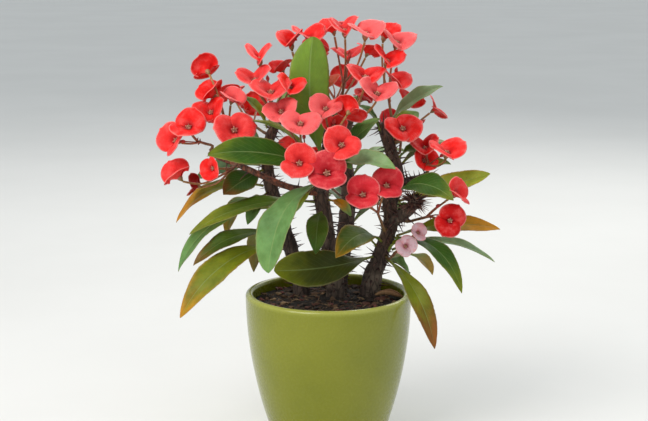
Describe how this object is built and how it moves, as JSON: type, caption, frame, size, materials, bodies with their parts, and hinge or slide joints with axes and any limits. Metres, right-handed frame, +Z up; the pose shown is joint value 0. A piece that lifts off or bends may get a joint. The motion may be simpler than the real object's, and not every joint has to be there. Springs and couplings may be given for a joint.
{
  "type": "potted crown of thorns plant",
  "caption": "Crown of thorns plant with red two-bract blooms, oval leaves and thorny woody stems, standing in soil in a round tapered glazed pot.",
  "frame": {"origin": "centre of the pot's flat base", "axes": "+Z up; -Y is the side that the picture shows"},
  "size_m": [0.2466, 0.1848, 0.3101],
  "materials": {
    "glaze": "smooth satin-gloss olive green glaze",
    "soil": "dark fibrous potting mix with bark chips",
    "bark": "dull brown-grey woody stem with dark thorns",
    "leaf": "smooth green leaf with a pale midrib, some turning olive and orange",
    "bloom": "velvety red bracts, paler and pinker inside and at the rim",
    "faded_bloom": "faded pale pink bracts"
  },
  "bodies": {
    "root": {"pot": "glaze", "soil": "soil", "stem_right": "bark", "stem_middle": "bark", "stem_left": "bark", "stem_back": "bark", "leaf_01": "leaf", "leaf_02": "leaf", "leaf_03": "leaf", "leaf_04": "leaf", "leaf_05": "leaf", "leaf_06": "leaf", "leaf_07": "leaf", "leaf_08": "leaf", "leaf_09": "leaf", "leaf_10": "leaf", "leaf_11": "leaf", "leaf_12": "leaf", "leaf_13": "leaf", "leaf_14": "leaf", "leaf_15": "leaf", "leaf_16": "leaf", "leaf_17": "leaf", "leaf_18": "leaf", "leaf_19": "leaf", "leaf_20": "leaf", "leaf_21": "leaf", "leaf_22": "leaf", "leaf_23": "leaf", "leaf_24": "leaf", "leaf_25": "leaf", "leaf_26": "leaf", "leaf_27": "leaf", "leaf_28": "leaf", "leaf_29": "leaf", "leaf_30": "leaf", "leaf_31": "leaf", "leaf_32": "leaf", "leaf_33": "leaf", "leaf_34": "leaf", "blooms_left_low": "bloom", "blooms_left": "bloom", "blooms_left_high": "bloom", "blooms_top_left": "bloom", "blooms_top": "bloom", "blooms_top_middle": "bloom", "blooms_top_right": "bloom", "blooms_upper_middle": "bloom", "blooms_middle_left": "bloom", "blooms_middle": "bloom", "blooms_front": "bloom", "blooms_front_right": "bloom", "blooms_right_low": "bloom", "blooms_right": "bloom", "blooms_right_high": "bloom", "faded_blooms": "faded_bloom", "blooms_back_left": "bloom", "blooms_back": "bloom", "blooms_back_right": "bloom", "blooms_back_low": "bloom"}
  },
  "joints": []
}
